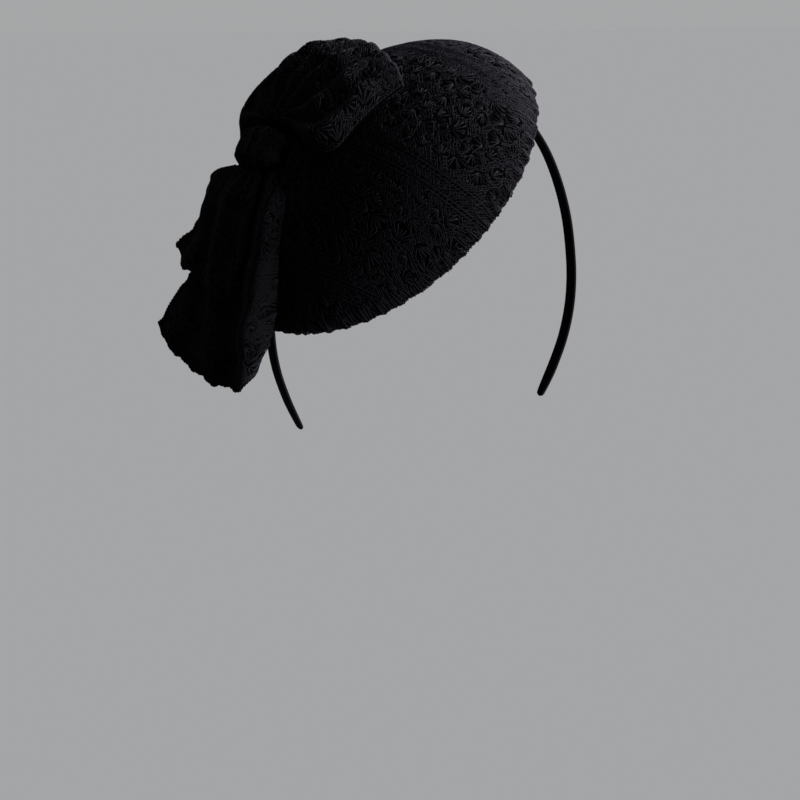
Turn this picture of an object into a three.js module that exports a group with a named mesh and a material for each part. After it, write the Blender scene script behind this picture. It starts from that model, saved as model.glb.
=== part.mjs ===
// A black lace fascinator: a shallow oval cap tilted over the right side of the head on a slim
// headband, with a gathered bow of one puffed loop and two hanging tails behind its top.
// Millimetres, +Z up, -Y towards the face, -X towards the wearer's right.
// The origin is the underside of the headband at the top of the head.
import * as THREE from 'three';

// Cap: half an oval dome, open underneath
const CAP_CENTRE = { x: -28.0, y: -0.8, z: -48.3 };
const CAP_TILT = 44.9;              // degrees from upright, towards the wearer's right
const CAP_RIM_RADIUS = 78.6;        // mean radius of the rim
const CAP_OVAL = 0.044;             // share by which the rim is longer front to back
const CAP_OVAL_TURN = 6.5;          // degrees, long axis from the front towards the top
const CAP_HEIGHT = 48.7;            // rim plane to the top of the dome
const CAP_SADDLE = 2.8;             // rim waves up and down twice round by this much
const CAP_SADDLE_TURN = 55.8;       // degrees, place of the first high point of that wave
const CAP_WALL = 2.5;
const CAP_EDGE_ROUND = 1.2;         // half-round of the bound rim
const CAP_STEPS_ROUND = 48;
const CAP_STEPS_UP = 14;

// Where the rim is drawn down to the headband at the top of the head
const TUCK = { depth: 5.9, centre: 97, halfWidth: 46, reach: 30 };

// Headband: a flat strip in a U, a row for each level of the right-hand side
const BAND_WIDTH = 6.4;
const BAND_THICKNESS = 1.7;
const BAND_LEAN = 0.05;             // backward shift for each millimetre of drop
const BAND_ROWS = [
  { drop: -0.85, halfWidth: 0.0 },
  { drop: 1.0, halfWidth: 15.5 },
  { drop: 7.5, halfWidth: 32.5 },
  { drop: 18.5, halfWidth: 47.5 },
  { drop: 36.0, halfWidth: 62.0 },
  { drop: 60.0, halfWidth: 73.0 },
  { drop: 84.0, halfWidth: 78.2 },
  { drop: 102.0, halfWidth: 79.0 },
  { drop: 118.0, halfWidth: 76.4 },
  { drop: 133.0, halfWidth: 70.8 },
  { drop: 147.0, halfWidth: 63.6 },
];
const BAND_STEPS = 72;
const BAND_TIP_TAPER = 0.035;       // share of the length that narrows at each tip
const BAND_TIP_SHARE = 0.45;        // share of the width left at the very tip
const BAND_CHAMFER = 0.4;

// Bow cloth and the place of its knot on the dome
const CLOTH = 1.8;                  // thickness of the doubled lace
const SEAT_GAP = 0.35;
const KNOT = {
  forward: -8,                      // centre, from the top of the dome towards the front
  up: -20,                          // centre, from the top of the dome up over the head
  halfLong: 14,
  halfAcross: 8.5,
  rise: 13,
  endShare: 0.3,                    // how much of the section is left at its two ends
  squareness: 0.75,                 // below 1 fills out the corners of its section
  endRound: 3,                      // higher keeps it full nearer to its ends
  pleats: 3,
  pleatDepth: 0.5,
};
const KNOT_STEPS_LONG = 14;
const KNOT_STEPS_ROUND = 24;

// Upper loop: the side profile of the strip, from the dome, round the end and back to the knot.
// along and rise are shares of LOOP.length and LOOP.rise
const LOOP = {
  length: 45,
  rise: 11,
  halfKnot: 10,                     // half width where the knot gathers it
  halfWide: 37,                     // half width of the open strip
  fan: 2.4,                         // how soon along its length it opens to the full width
  drift: 9,                         // lean of its far end towards the front
  droop: 40,                        // fall of its two edges beside the knot
  endRound: 0.28,                   // share by which the edges are shorter than the middle
  puffPower: 2.4,                   // higher keeps the puff fuller towards the edges
  layerGap: 2.6,                    // between the middles of the two layers at the edges
  folds: 5,
  foldDepth: 1.0,
  foldFade: 0.4,                    // share of the fold depth lost where the strip is open
  upperFrom: 0.40,                  // place in the profile where the upper layer starts
  upperTo: 0.56,
};
const LOOP_PROFILE = [
  { at: 0.00, along: 0.00, rise: 0.00 },
  { at: 0.13, along: 0.26, rise: 0.00 },
  { at: 0.27, along: 0.57, rise: 0.00 },
  { at: 0.39, along: 0.85, rise: 0.02 },
  { at: 0.47, along: 0.98, rise: 0.12 },
  { at: 0.54, along: 1.00, rise: 0.28 },
  { at: 0.62, along: 0.91, rise: 0.58 },
  { at: 0.73, along: 0.66, rise: 1.00 },
  { at: 0.85, along: 0.34, rise: 0.88 },
  { at: 0.94, along: 0.11, rise: 0.44 },
  { at: 1.00, along: 0.00, rise: 0.24 },
];
const LOOP_STEPS_LONG = 36;
const LOOP_STEPS_ACROSS = 24;

// Tails: a row for each section down the cloth, with its front and rear edge
const LONG_TAIL_ROWS = [
  { at: 0.00, frontX: -81.5, frontY: -6, frontZ: -36, rearX: -81.0, rearY: 18, rearZ: -36, fold: 0.9 },
  { at: 0.14, frontX: -86.0, frontY: -19, frontZ: -46, rearX: -82.0, rearY: 34, rearZ: -47, fold: 1.0 },
  { at: 0.36, frontX: -91.5, frontY: -24, frontZ: -64, rearX: -87.0, rearY: 46, rearZ: -64, fold: 1.5 },
  { at: 0.58, frontX: -95.0, frontY: -24, frontZ: -82, rearX: -93.0, rearY: 50, rearZ: -79, fold: 1.9 },
  { at: 0.80, frontX: -97.0, frontY: -19, frontZ: -102, rearX: -101.5, rearY: 51, rearZ: -94, fold: 1.9 },
  { at: 1.00, frontX: -98.5, frontY: -12, frontZ: -121, rearX: -108.0, rearY: 51, rearZ: -106.5, fold: 1.6 },
];
const SHORT_TAIL_ROWS = [
  { at: 0.00, frontX: -85.5, frontY: -2, frontZ: -35.4, rearX: -85.5, rearY: 19, rearZ: -33.6, fold: 0.9 },
  { at: 0.20, frontX: -91.0, frontY: -8, frontZ: -47, rearX: -87.0, rearY: 36, rearZ: -39, fold: 1.2 },
  { at: 0.50, frontX: -97.0, frontY: -11, frontZ: -62, rearX: -88.0, rearY: 47, rearZ: -52, fold: 1.6 },
  { at: 0.76, frontX: -100.5, frontY: -10, frontZ: -75, rearX: -90.0, rearY: 51, rearZ: -62, fold: 1.8 },
  { at: 1.00, frontX: -102.0, frontY: -7, frontZ: -88, rearX: -98.5, rearY: 51, rearZ: -71.5, fold: 1.6 },
];
const LONG_STAND_OFF = CLOTH / 2 + SEAT_GAP;   // middle of the cloth from the dome
const SHORT_STAND_OFF = 2.5 * CLOTH;
const TAIL_STEPS_LONG = 24;
const TAIL_STEPS_ACROSS = 16;
const TAIL_FOLD_PITCH = 26;         // from fold to fold, front to back
const TAIL_FOLD_START = -15;        // place of the first fold
const TAIL_EDGE_ROLL = 0.14;        // share of the width that rolls in at the front edge
const TAIL_ROLL_START = 3;          // how soon down the tail the roll is full
const LONG_ROLL_DEPTH = 5;
const SHORT_ROLL_DEPTH = 1.5;
const TAIL_REAR_FLAT = 4;           // power by which the folds fade out at the rear edge
const TAIL_BOW = 4;                 // outward bow of the middle of the width
const TAIL_BOW_START = 2;           // how soon down the tail that bow is full
const TAIL_BOW_FADE = 0.7;          // share of that bow lost at the hem
const TAIL_HEM_SAG = 5.5;           // how far the hem hangs lower in the middle of the width

const CAP_COLOUR = 0x141318;
const BOW_COLOUR = 0x131217;
const LACE_ROUGHNESS = 0.85;
const BAND_COLOUR = 0x0b0b0d;
const BAND_ROUGHNESS = 0.4;

const RAD = Math.PI / 180;
const HALVINGS = 20;

// Smooth value of one named column at a place along a table, by cubic pieces through its rows
function column(rows, key, name, at) {
  let i = 0;
  while (i < rows.length - 2 && at > rows[i + 1][key]) {
    i += 1;
  }
  const slope = (k) => {
    const a = rows[Math.max(k - 1, 0)];
    const b = rows[Math.min(k + 1, rows.length - 1)];
    return (b[name] - a[name]) / (b[key] - a[key]);
  };
  const span = rows[i + 1][key] - rows[i][key];
  const t = Math.min(Math.max((at - rows[i][key]) / span, 0), 1);
  const t2 = t * t;
  const t3 = t2 * t;
  return (2 * t3 - 3 * t2 + 1) * rows[i][name] + (t3 - 2 * t2 + t) * span * slope(i)
    + (3 * t2 - 2 * t3) * rows[i + 1][name] + (t3 - t2) * span * slope(i + 1);
}

function smooth(t) {
  const c = Math.min(Math.max(t, 0), 1);
  return c * c * (3 - 2 * c);
}

function geometryOf(points, faces) {
  const geometry = new THREE.BufferGeometry();
  const coordinates = points.flatMap((p) => [p.x, p.y, p.z]);
  geometry.setAttribute('position', new THREE.Float32BufferAttribute(coordinates, 3));
  geometry.setIndex(faces.flat());
  geometry.computeVertexNormals();
  return geometry;
}

// Closed solid of a cloth sheet: point(u, v) is its middle, thickened along the surface's normal
function sheetSolid(point, stepsLong, stepsAcross, thickness) {
  const nudge = 0.004;
  const points = [];
  const faces = [];
  const columns = stepsAcross + 1;
  const count = (stepsLong + 1) * columns;
  for (const side of [1, -1]) {
    for (let i = 0; i <= stepsLong; i += 1) {
      for (let j = 0; j <= stepsAcross; j += 1) {
        const u = i / stepsLong;
        const v = j / stepsAcross;
        const along = point(Math.min(u + nudge, 1), v).sub(point(Math.max(u - nudge, 0), v));
        const across = point(u, Math.min(v + nudge, 1)).sub(point(u, Math.max(v - nudge, 0)));
        const normal = along.cross(across).normalize();
        points.push(point(u, v).addScaledVector(normal, side * thickness / 2));
      }
    }
  }
  const quad = (a, b, c, d) => faces.push([a, b, c], [a, c, d]);
  for (let i = 0; i < stepsLong; i += 1) {
    for (let j = 0; j < stepsAcross; j += 1) {
      const a = i * columns + j;
      quad(a, a + columns, a + columns + 1, a + 1);
      quad(count + a, count + a + 1, count + a + columns + 1, count + a + columns);
    }
  }
  for (let i = 0; i < stepsLong; i += 1) {
    const a = i * columns;
    const b = a + stepsAcross;
    quad(a, count + a, count + a + columns, a + columns);
    quad(b, b + columns, count + b + columns, count + b);
  }
  for (let j = 0; j < stepsAcross; j += 1) {
    const b = stepsLong * columns + j;
    quad(j, j + 1, count + j + 1, count + j);
    quad(b, count + b, count + b + 1, b + 1);
  }
  return geometryOf(points, faces);
}

// Cap frame: X to the front, Y up over the head, Z out of the dome
const capAxes = new THREE.Matrix4().makeBasis(
  new THREE.Vector3(0, -1, 0),
  new THREE.Vector3(Math.cos(CAP_TILT * RAD), 0, Math.sin(CAP_TILT * RAD)),
  new THREE.Vector3(-Math.sin(CAP_TILT * RAD), 0, Math.cos(CAP_TILT * RAD)),
);
const capToWorld = capAxes.clone().setPosition(CAP_CENTRE.x, CAP_CENTRE.y, CAP_CENTRE.z);
const worldToCap = capToWorld.clone().invert();

function rimRadius(angle) {
  return CAP_RIM_RADIUS * (1 + CAP_OVAL * Math.cos(2 * (angle - CAP_OVAL_TURN * RAD)));
}

function rimWave(angle) {
  return CAP_SADDLE * Math.cos(2 * (angle - CAP_SADDLE_TURN * RAD));
}

// Point of the dome at an angle round the rim and a climb of 0 to 90 degrees from rim to top
function domePoint(angle, climb, inset) {
  const reach = (rimRadius(angle) - inset) * Math.cos(climb);
  const height = (CAP_HEIGHT - inset) * Math.sin(climb) + rimWave(angle) * Math.cos(climb) ** 2;
  const turn = Math.abs(angle / RAD - TUCK.centre);
  const near = turn < TUCK.halfWidth ? Math.cos(turn / TUCK.halfWidth * Math.PI / 2) ** 2 : 0;
  const low = Math.max(1 - climb / RAD / TUCK.reach, 0) ** 2;
  const drop = TUCK.depth * near * low;
  const point = new THREE.Vector3(reach * Math.cos(angle), reach * Math.sin(angle), height);
  point.y -= drop * Math.sin(CAP_TILT * RAD);
  point.z -= drop * Math.cos(CAP_TILT * RAD);
  return point;
}

function domeHeight(forward, up) {
  const angle = Math.atan2(up, forward);
  const share = Math.min(Math.hypot(forward, up) / rimRadius(angle), 1);
  return CAP_HEIGHT * Math.sqrt(1 - share * share) + rimWave(angle) * share * share;
}

// Point above the dome's outer face, in the cap's frame
function aboveDome(forward, up, rise) {
  const step = 0.5;
  const slopeForward = (domeHeight(forward + step, up) - domeHeight(forward - step, up)) / (2 * step);
  const slopeUp = (domeHeight(forward, up + step) - domeHeight(forward, up - step)) / (2 * step);
  const normal = new THREE.Vector3(-slopeForward, -slopeUp, 1).normalize();
  return new THREE.Vector3(forward, up, domeHeight(forward, up)).addScaledVector(normal, rise);
}

// X of the dome's right-hand face at a place, or nothing where the dome isn't: steps of 1 mm, then halvings
function domeSideX(y, z) {
  const outside = (x) => {
    const p = new THREE.Vector3(x, y, z).applyMatrix4(worldToCap);
    const share = Math.hypot(p.x, p.y) / rimRadius(Math.atan2(p.y, p.x));
    return share >= 1 || p.z > domeHeight(p.x, p.y);
  };
  let inner = null;
  for (let x = CAP_CENTRE.x - CAP_RIM_RADIUS; x < CAP_CENTRE.x; x += 1) {
    if (!outside(x)) {
      inner = x;
      break;
    }
  }
  if (inner === null) {
    return null;
  }
  let outer = inner - 1;
  for (let k = 0; k < HALVINGS; k += 1) {
    const middle = (inner + outer) / 2;
    if (outside(middle)) {
      outer = middle;
    } else {
      inner = middle;
    }
  }
  return outer;
}

// Cap: outer wall, inner wall and a half-round bound edge, closed at the two tops
function makeCap() {
  const points = [];
  const faces = [];
  const ring = (inset, climb, below) => {
    const first = points.length;
    for (let k = 0; k < CAP_STEPS_ROUND; k += 1) {
      const p = domePoint(2 * Math.PI * k / CAP_STEPS_ROUND, climb, inset);
      p.z -= below;
      points.push(p);
    }
    return first;
  };
  const climbs = Array.from({ length: CAP_STEPS_UP }, (_, k) => Math.PI / 2 * k / CAP_STEPS_UP);
  const outer = climbs.map((climb) => ring(0, climb, 0));
  const inner = climbs.map((climb) => ring(CAP_WALL, climb, 0));
  const edge = ring(CAP_WALL / 2, 0, CAP_EDGE_ROUND);
  const outerTop = points.push(domePoint(0, Math.PI / 2, 0)) - 1;
  const innerTop = points.push(domePoint(0, Math.PI / 2, CAP_WALL)) - 1;
  const strip = (low, high) => {
    for (let k = 0; k < CAP_STEPS_ROUND; k += 1) {
      const next = (k + 1) % CAP_STEPS_ROUND;
      faces.push([low + k, low + next, high + next], [low + k, high + next, high + k]);
    }
  };
  strip(edge, outer[0]);
  strip(inner[0], edge);
  for (let i = 1; i < CAP_STEPS_UP; i += 1) {
    strip(outer[i - 1], outer[i]);
    strip(inner[i], inner[i - 1]);
  }
  for (let k = 0; k < CAP_STEPS_ROUND; k += 1) {
    const next = (k + 1) % CAP_STEPS_ROUND;
    faces.push([outer[CAP_STEPS_UP - 1] + k, outer[CAP_STEPS_UP - 1] + next, outerTop]);
    faces.push([inner[CAP_STEPS_UP - 1] + next, inner[CAP_STEPS_UP - 1] + k, innerTop]);
  }
  return geometryOf(points, faces);
}

// Headband: a flat section with chamfered edges carried round the U, narrowed at both tips
function makeHeadband() {
  const right = BAND_ROWS.map((row) => new THREE.Vector3(-row.halfWidth, row.drop * BAND_LEAN, -row.drop));
  const left = right.slice(1).map((p) => new THREE.Vector3(-p.x, p.y, p.z)).reverse();
  const path = new THREE.CatmullRomCurve3([...left, ...right], false, 'centripetal');
  const wide = BAND_WIDTH / 2;
  const thick = BAND_THICKNESS / 2;
  const section = [
    { across: wide, out: BAND_CHAMFER - thick },
    { across: wide, out: thick - BAND_CHAMFER },
    { across: wide - BAND_CHAMFER, out: thick },
    { across: BAND_CHAMFER - wide, out: thick },
    { across: -wide, out: thick - BAND_CHAMFER },
    { across: -wide, out: BAND_CHAMFER - thick },
    { across: BAND_CHAMFER - wide, out: -thick },
    { across: wide - BAND_CHAMFER, out: -thick },
  ];
  const sides = section.length;
  const points = [];
  const faces = [];
  for (let i = 0; i <= BAND_STEPS; i += 1) {
    const t = i / BAND_STEPS;
    const tangent = path.getTangentAt(t);
    const across = new THREE.Vector3(0, 1, 0).addScaledVector(tangent, -tangent.y).normalize();
    const outward = new THREE.Vector3().crossVectors(across, tangent).normalize();
    const fromTip = Math.min(Math.min(t, 1 - t) / BAND_TIP_TAPER, 1);
    const taper = BAND_TIP_SHARE + (1 - BAND_TIP_SHARE) * Math.sqrt(1 - (1 - fromTip) ** 2);
    for (const corner of section) {
      points.push(path.getPointAt(t).addScaledVector(across, corner.across * taper)
        .addScaledVector(outward, corner.out));
    }
  }
  for (let i = 0; i < BAND_STEPS * sides; i += sides) {
    for (let k = 0; k < sides; k += 1) {
      const next = (k + 1) % sides;
      faces.push([i + k, i + sides + next, i + next], [i + k, i + sides + k, i + sides + next]);
    }
  }
  const last = BAND_STEPS * sides;
  for (let k = 1; k < sides - 1; k += 1) {
    faces.push([0, k, k + 1], [last, last + k + 1, last + k]);
  }
  return geometryOf(points, faces);
}

// Knot: a pleated wrap, oval in section, lofted across the bow and flat on the dome
function knotPoint(share, turn) {
  const full = Math.sqrt(Math.max(1 - Math.abs(share) ** KNOT.endRound, 0));
  const size = KNOT.endShare + (1 - KNOT.endShare) * full;
  const pleat = 1 + KNOT.pleatDepth / KNOT.halfAcross * Math.cos(2 * KNOT.pleats * turn) * full;
  const cosine = Math.cos(turn);
  const squared = Math.sign(cosine) * Math.abs(cosine) ** KNOT.squareness;
  const forward = KNOT.forward + KNOT.halfLong * share;
  const up = KNOT.up + KNOT.halfAcross * size * pleat * squared;
  const halfRise = KNOT.rise / 2 * size;
  const lift = Math.sin(turn) > 0 ? halfRise * pleat : halfRise - SEAT_GAP;
  return aboveDome(forward, up, halfRise + lift * Math.sin(turn));
}

function makeKnot() {
  const points = [];
  const faces = [];
  for (let i = 1; i < KNOT_STEPS_LONG; i += 1) {
    const share = -Math.cos(Math.PI * i / KNOT_STEPS_LONG);
    for (let k = 0; k < KNOT_STEPS_ROUND; k += 1) {
      points.push(knotPoint(share, 2 * Math.PI * k / KNOT_STEPS_ROUND));
    }
  }
  const rearEnd = points.push(knotPoint(-1, 0).lerp(knotPoint(-1, Math.PI), 0.5)) - 1;
  const frontEnd = points.push(knotPoint(1, 0).lerp(knotPoint(1, Math.PI), 0.5)) - 1;
  const last = (KNOT_STEPS_LONG - 2) * KNOT_STEPS_ROUND;
  for (let k = 0; k < KNOT_STEPS_ROUND; k += 1) {
    const next = (k + 1) % KNOT_STEPS_ROUND;
    for (let i = 0; i < last; i += KNOT_STEPS_ROUND) {
      faces.push([i + k, i + next + KNOT_STEPS_ROUND, i + k + KNOT_STEPS_ROUND]);
      faces.push([i + k, i + next, i + next + KNOT_STEPS_ROUND]);
    }
    faces.push([rearEnd, next, k], [frontEnd, last + k, last + next]);
  }
  return geometryOf(points, faces);
}

// Loop: the strip's side profile, fanned out in width from the knot and gathered into folds there.
// The upper layer is puffed in the middle and comes down to the lower layer at its two edges
function loopPoint(u, v) {
  const along = column(LOOP_PROFILE, 'at', 'along', u);
  const side = 2 * v - 1;
  const fan = smooth(along * LOOP.fan);
  const half = LOOP.halfKnot + (LOOP.halfWide - LOOP.halfKnot) * fan;
  const puff = Math.sqrt(Math.max(1 - Math.abs(side) ** LOOP.puffPower, 0));
  const upper = smooth((u - LOOP.upperFrom) / (LOOP.upperTo - LOOP.upperFrom));
  const wave = Math.cos(LOOP.folds * Math.PI * side) * (1 - LOOP.foldFade * fan);
  const apart = LOOP.layerGap + LOOP.foldDepth * (1 + wave);
  const lift = LOOP.rise * column(LOOP_PROFILE, 'at', 'rise', u) * puff + apart * upper;
  const reach = LOOP.length * along * (1 - LOOP.endRound * side * side * fan);
  const droop = LOOP.droop * side * side * fan * (1 - along) ** 2;
  const forward = KNOT.forward + half * side + LOOP.drift * along;
  const up = KNOT.up + KNOT.halfAcross + 2 * SEAT_GAP + reach - droop;
  return aboveDome(forward, up, CLOTH / 2 + SEAT_GAP + lift);
}

// Tail: straight sections between the two edges, bowed outward, rippled, rolled in at the front edge
function tailPoint(rows, rollDepth, standOff, u, v) {
  const at = (name) => column(rows, 'at', name, u);
  const front = new THREE.Vector3(at('frontX'), at('frontY'), at('frontZ'));
  const rear = new THREE.Vector3(at('rearX'), at('rearY'), at('rearZ'));
  const point = front.lerp(rear, v);
  const ripple = at('fold') * Math.cos(2 * Math.PI * (point.y - TAIL_FOLD_START) / TAIL_FOLD_PITCH);
  const roll = Math.max(1 - v / TAIL_EDGE_ROLL, 0) ** 2 * rollDepth * smooth(u * TAIL_ROLL_START);
  const fullness = smooth(u * TAIL_BOW_START) * (1 - TAIL_BOW_FADE * u * u);
  const bow = TAIL_BOW * fullness * Math.sin(Math.PI * v);
  point.x += roll - bow - ripple * (1 - v ** TAIL_REAR_FLAT);
  point.z -= TAIL_HEM_SAG * u * u * 4 * v * (1 - v);
  const wall = domeSideX(point.y, point.z);
  if (wall !== null) {
    point.x = Math.min(point.x, wall - standOff);
  }
  return point;
}

function named(name, geometry, colour, roughness) {
  const material = new THREE.MeshStandardMaterial({ color: colour, roughness, metalness: 0 });
  const mesh = new THREE.Mesh(geometry, material);
  mesh.name = name;
  return mesh;
}

const fascinator = new THREE.Group();
const capGroup = new THREE.Group();
capGroup.position.set(CAP_CENTRE.x, CAP_CENTRE.y, CAP_CENTRE.z);
capGroup.quaternion.setFromRotationMatrix(capAxes);
fascinator.add(capGroup);

const longTailPoint = (u, v) => tailPoint(LONG_TAIL_ROWS, LONG_ROLL_DEPTH, LONG_STAND_OFF, u, v);
const shortTailPoint = (u, v) => tailPoint(SHORT_TAIL_ROWS, SHORT_ROLL_DEPTH, SHORT_STAND_OFF, u, v);
const loop = sheetSolid(loopPoint, LOOP_STEPS_LONG, LOOP_STEPS_ACROSS, CLOTH);
const longTail = sheetSolid(longTailPoint, TAIL_STEPS_LONG, TAIL_STEPS_ACROSS, CLOTH);
const shortTail = sheetSolid(shortTailPoint, TAIL_STEPS_LONG, TAIL_STEPS_ACROSS, CLOTH);

capGroup.add(named('cap', makeCap(), CAP_COLOUR, LACE_ROUGHNESS));
capGroup.add(named('bow_knot', makeKnot(), BOW_COLOUR, LACE_ROUGHNESS));
capGroup.add(named('bow_loop', loop, BOW_COLOUR, LACE_ROUGHNESS));
fascinator.add(named('bow_long_tail', longTail, BOW_COLOUR, LACE_ROUGHNESS));
fascinator.add(named('bow_short_tail', shortTail, BOW_COLOUR, LACE_ROUGHNESS));
fascinator.add(named('headband', makeHeadband(), BAND_COLOUR, BAND_ROUGHNESS));

export default fascinator;
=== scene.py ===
import bpy
import numpy as np
from mathutils import Matrix


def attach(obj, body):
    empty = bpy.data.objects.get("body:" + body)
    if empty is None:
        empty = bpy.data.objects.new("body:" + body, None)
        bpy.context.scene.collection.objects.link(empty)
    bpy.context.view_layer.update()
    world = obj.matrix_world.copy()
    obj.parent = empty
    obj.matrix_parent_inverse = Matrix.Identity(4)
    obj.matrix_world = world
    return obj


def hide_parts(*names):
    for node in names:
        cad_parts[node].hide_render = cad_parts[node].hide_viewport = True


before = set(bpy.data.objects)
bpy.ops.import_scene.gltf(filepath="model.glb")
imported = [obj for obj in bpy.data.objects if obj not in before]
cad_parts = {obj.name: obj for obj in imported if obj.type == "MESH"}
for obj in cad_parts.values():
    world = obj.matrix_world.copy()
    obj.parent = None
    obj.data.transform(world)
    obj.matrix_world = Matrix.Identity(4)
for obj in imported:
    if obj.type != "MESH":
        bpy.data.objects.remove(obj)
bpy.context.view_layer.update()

# Headband: a slim springy strip of black moulded plastic bent into a U.
# It carries everything else. The cap is stitched to it where its rim crosses the top of the arch.
# Sizes here and below are in millimetres, and put_mesh turns them into metres.
MM = 0.001
BAND_WIDTH = 6.4
BAND_THICKNESS = 1.7
BAND_LEAN = 0.05
# Rows from the top of the arch to a tip: distance down, and distance from the middle.
BAND_PATH = np.array([
    (-0.85, 0.0), (1.0, 15.5), (7.5, 32.5), (18.5, 47.5), (36.0, 62.0), (60.0, 73.0),
    (84.0, 78.2), (102.0, 79.0), (118.0, 76.4), (133.0, 70.8), (147.0, 63.6),
])
BAND_FACE_POWER = 0.6
BAND_EDGE_POWER = 0.45
BAND_STEPS = 260
BAND_SIDES = 20
BAND_TIP = 15.8
BAND_TIP_SHARE = 0.45
BAND_END_ROUND = 1.6
BAND_BLACK = (0.0012, 0.0012, 0.0014, 1)


def through(place, values, at):
    """Smooth curve through a table: cubic pieces whose slope at a row is that of the line between the rows
    beside it. place rises, values has a column for each thing that changes, and at is any array."""
    place = np.asarray(place, float)
    values = np.asarray(values, float).reshape(len(place), -1)
    rows = np.arange(len(place))
    low = np.maximum(rows - 1, 0)
    high = np.minimum(rows + 1, len(place) - 1)
    slope = (values[high] - values[low]) / (place[high] - place[low])[:, None]
    i = np.clip(np.searchsorted(place, at, side="right") - 1, 0, len(place) - 2)
    span = (place[i + 1] - place[i])[..., None]
    t = np.clip((at - place[i]) / (place[i + 1] - place[i]), 0, 1)[..., None]
    start = (2 * t**3 - 3 * t**2 + 1) * values[i] + (t**3 - 2 * t**2 + t) * span * slope[i]
    return start + (3 * t**2 - 2 * t**3) * values[i + 1] + (t**3 - t**2) * span * slope[i + 1]


def unit(vectors):
    """Each vector divided by its length."""
    return vectors / np.maximum(np.linalg.norm(vectors, axis=-1, keepdims=True), 1e-9)


def power(wave, exponent):
    """A wave with its size raised to a power and its sign kept; under 1 it makes a circle squarer."""
    return np.sign(wave) * np.abs(wave) ** exponent


def grid_faces(rows, columns, closed):
    """Quads of a grid of points numbered row by row; closed joins the last column to the first."""
    i = np.arange(rows - 1)[:, None] * columns
    j = np.arange(columns if closed else columns - 1)[None, :]
    k = (j + 1) % columns
    return np.stack([i + j, i + k, i + columns + k, i + columns + j], -1).reshape(-1, 4)


def add_object(name, data):
    """Object of a mesh, lamp or camera, linked into the scene."""
    made = bpy.data.objects.new(name, data)
    bpy.context.scene.collection.objects.link(made)
    return made


def put_mesh(name, points, faces, **maps):
    """Object from whole arrays: points in millimetres, a list of face arrays, and UV maps by name."""
    mesh = bpy.data.meshes.new(name)
    points = np.asarray(points, np.float32).reshape(-1, 3) * MM
    corners = np.concatenate([f.ravel() for f in faces]).astype(np.int32)
    counts = np.concatenate([np.full(len(f), f.shape[1], np.int32) for f in faces])
    mesh.vertices.add(len(points))
    mesh.vertices.foreach_set("co", points.ravel())
    mesh.loops.add(len(corners))
    mesh.loops.foreach_set("vertex_index", corners)
    mesh.polygons.add(len(counts))
    starts = np.concatenate([[0], np.cumsum(counts)[:-1]]).astype(np.int32)
    mesh.polygons.foreach_set("loop_start", starts)
    mesh.polygons.foreach_set("use_smooth", np.ones(len(counts), bool))
    mesh.update(calc_edges=True)
    for title, pairs in maps.items():
        layer = mesh.uv_layers.new(name=title)
        layer.uv.foreach_set("vector", np.asarray(pairs, np.float32).reshape(-1, 2)[corners].ravel())
    return add_object(name, mesh)


def make_headband():
    """A flat section with round edges carried along a smooth U through the table's rows, mirrored for the
    left side; its width narrows towards both tips and its ends close in a quarter round."""
    drop, half = BAND_PATH.T
    right = np.stack([-half, drop * BAND_LEAN, -drop], 1)
    left = right[:0:-1] * [-1, 1, 1]
    rows = np.concatenate([left, right])
    chord = np.concatenate([[0], np.cumsum(np.linalg.norm(np.diff(rows, axis=0), axis=1))])
    at = chord[-1] * (1 - np.cos(np.linspace(0, np.pi, BAND_STEPS + 1))) / 2
    middle = through(chord, rows, at)
    along = unit(np.gradient(middle, at, axis=0))
    across = unit(np.array([0, 1, 0]) - along * along[:, 1:2])
    outward = np.cross(across, along)
    end = np.minimum(at, chord[-1] - at)
    narrow = np.sqrt(1 - (1 - np.clip(end / BAND_TIP, 0, 1)) ** 2)
    close = np.sqrt(1 - (1 - np.clip(end / BAND_END_ROUND, 0, 1)) ** 2)
    wide = BAND_WIDTH / 2 * (BAND_TIP_SHARE + (1 - BAND_TIP_SHARE) * narrow) * close
    thick = BAND_THICKNESS / 2 * close
    turn = np.linspace(0, 2 * np.pi, BAND_SIDES, endpoint=False)
    side = power(np.cos(turn), BAND_EDGE_POWER)[None, :, None] * wide[:, None, None]
    rise = power(np.sin(turn), BAND_FACE_POWER)[None, :, None] * thick[:, None, None]
    points = middle[:, None] + across[:, None] * side + outward[:, None] * rise
    faces = grid_faces(BAND_STEPS + 1, BAND_SIDES, True)[:, ::-1]
    return put_mesh("band_strip", points, [faces])


def set_inputs(node, values):
    """Values of a node's input sockets, by their names."""
    for title, value in values.items():
        node.inputs[title].default_value = value


def on_object(nodes, links, kind, values):
    """Texture node of a kind on Object coordinates, with its input values."""
    place = nodes.new("ShaderNodeTexCoord")
    texture = nodes.new("ShaderNodeTex" + kind)
    links.new(place.outputs["Object"], texture.inputs["Vector"])
    set_inputs(texture, values)
    return texture


def raise_by(nodes, links, shader, height, strength, distance):
    """Bump of a shader's surface by a height that changes over it."""
    bump = nodes.new("ShaderNodeBump")
    set_inputs(bump, {"Strength": strength, "Distance": distance})
    links.new(height, bump.inputs["Height"])
    links.new(bump.outputs["Normal"], shader.inputs["Normal"])


def new_material(name, colour):
    """Principled material with its nodes, links and shader."""
    material = bpy.data.materials.new(name)
    material.use_nodes = True
    nodes = material.node_tree.nodes
    shader = nodes["Principled BSDF"]
    set_inputs(shader, {"Base Color": colour})
    return material, nodes, material.node_tree.links, shader


def dress(piece, material):
    """Material and body of a finished piece."""
    piece.data.materials.append(material)
    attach(piece, "root")


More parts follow.
